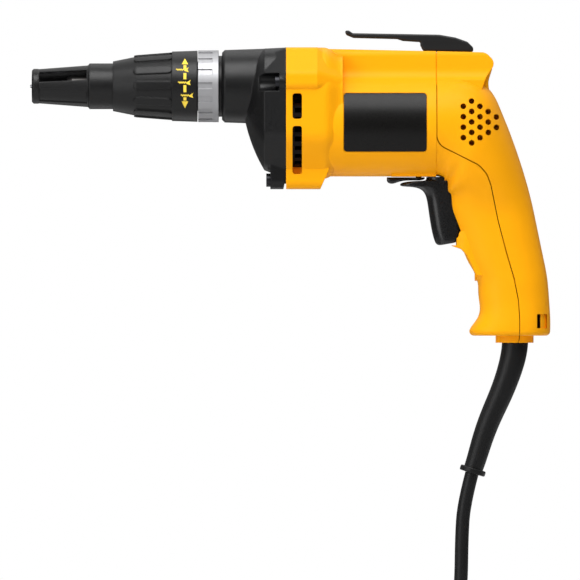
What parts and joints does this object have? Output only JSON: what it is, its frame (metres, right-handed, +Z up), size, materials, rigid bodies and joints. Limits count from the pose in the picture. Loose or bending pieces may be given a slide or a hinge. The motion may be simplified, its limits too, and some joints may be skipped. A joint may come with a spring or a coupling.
{
  "type": "drywall screwdriver",
  "caption": "Corded pistol-grip drywall screwdriver with a depth-setting nose, jaw clutch, trigger, reverse lever, belt hook and moulded cord.",
  "frame": {"origin": "middle of the hand grip, where the palm closes round it", "axes": "+X backwards from the nose to the tail, +Y to the tool's left as it points forward along -X, +Z up from the grip to the motor"},
  "size_m": [0.3069, 0.1329, 0.3949],
  "materials": {
    "housing_yellow": "fine-textured moulded yellow plastic",
    "case_black": "satin black paint on die-cast alloy",
    "nose_black": "satin black moulded plastic",
    "control_black": "smooth black moulded plastic",
    "hook_black": "satin black coat on formed steel",
    "plate_black": "smooth dark plate, left bare",
    "ring_silver": "bright turned metal",
    "screw_steel": "dark zinc-plated steel",
    "tool_steel": "machined steel",
    "bearing_steel": "polished bearing steel",
    "spring_steel": "drawn spring wire",
    "bronze": "sintered bronze",
    "plate_alloy": "die-cast alloy",
    "lamination": "stacked electrical steel",
    "copper": "enamelled copper",
    "carbon": "pressed carbon",
    "inner_plastic": "black glass-filled plastic",
    "cord_rubber": "black rubber jacket",
    "tie_black": "soft black tie",
    "blade_brass": "nickel-washed brass"
  },
  "bodies": {
    "housing": {"motor_housing": "housing_yellow", "handle_cover": "housing_yellow", "handle_screw": "screw_steel", "name_plates": "plate_black", "gear_case": "case_black", "gear_case_screws": "screw_steel", "bearing_plate": "plate_alloy", "spindle_front_bush": "bronze", "spindle_rear_bush": "bronze", "detent_ring": "ring_silver", "belt_hook": "hook_black", "belt_hook_screws": "screw_steel", "fan_shroud": "inner_plastic", "fan_baffle": "inner_plastic", "field_stack": "lamination", "field_coils": "copper", "brush_holders": "bronze", "carbon_brushes": "carbon", "brush_springs": "spring_steel", "switch_body": "inner_plastic", "cord_clamp": "inner_plastic", "cord_clamp_screws": "screw_steel", "cord_end": "cord_rubber", "cord_boot": "cord_rubber", "cord_drop": "cord_rubber", "cord_coil": "cord_rubber", "cord_tie": "tie_black", "plug_body": "cord_rubber", "plug_blades": "blade_brass", "front_bearing_outer_ring": "bearing_steel", "rear_bearing_outer_ring": "bearing_steel"},
    "rotor": {"armature_shaft": "tool_steel", "armature_core": "lamination", "armature_winding": "copper", "commutator": "copper", "cooling_fan": "inner_plastic", "motor_pinion": "tool_steel", "front_bearing_inner_ring": "bearing_steel", "front_bearing_balls": "bearing_steel", "rear_bearing_inner_ring": "bearing_steel", "rear_bearing_balls": "bearing_steel"},
    "gear": {"drive_gear": "tool_steel", "clutch_spring": "spring_steel"},
    "spindle": {"spindle": "tool_steel", "bit_holder": "tool_steel", "bit_magnet": "lamination", "driver_bit": "tool_steel"},
    "nose_base": {"locator_sleeve": "nose_black"},
    "collar": {"depth_collar": "nose_black"},
    "nose": {"nosepiece": "nose_black"},
    "trigger": {"trigger": "control_black", "switch_plunger": "control_black"},
    "lever": {"reverse_lever": "control_black"}
  },
  "joints": [
    {"name": "motor_spin", "type": "hinge", "parent": "housing", "child": "rotor", "pos_m": [-0.08, 0, 0.0736], "axis": [1, 0, 0], "continuous": true},
    {"name": "gear_spin", "type": "hinge", "parent": "housing", "child": "gear", "pos_m": [-0.136, 0, 0.0966], "axis": [1, 0, 0], "continuous": true},
    {"name": "spindle_press", "type": "slide", "parent": "gear", "child": "spindle", "axis": [1, 0, 0], "range_m": [0, 0.003], "stiffness_N_per_m": 3000, "springref_m": -0.001, "deforming": ["clutch_spring"]},
    {"name": "trigger_pull", "type": "slide", "parent": "housing", "child": "trigger", "axis": [1, 0, 0], "range_m": [0, 0.006], "stiffness_N_per_m": 600, "springref_m": -0.004},
    {"name": "reverse_lever_swing", "type": "hinge", "parent": "housing", "child": "lever", "pos_m": [-0.048, 0, 0.042], "axis": [0, 0, 1], "range_deg": [-15, 15]},
    {"name": "nose_pull", "type": "slide", "parent": "housing", "child": "nose_base", "axis": [-1, 0, 0], "range_m": [0, 0.075]},
    {"name": "collar_turn", "type": "hinge", "parent": "nose_base", "child": "collar", "pos_m": [-0.2, 0, 0.0966], "axis": [1, 0, 0], "range_deg": [-180, 180]},
    {"name": "nose_depth", "type": "slide", "parent": "nose_base", "child": "nose", "axis": [-1, 0, 0], "range_m": [-0.003, 0.003]}
  ],
  "couplings": [
    {"joint": "gear_spin", "follows": "motor_spin", "ratio": -0.24324},
    {"joint": "nose_depth", "follows": "collar_turn", "m_per_rad": 0.00095493}
  ]
}
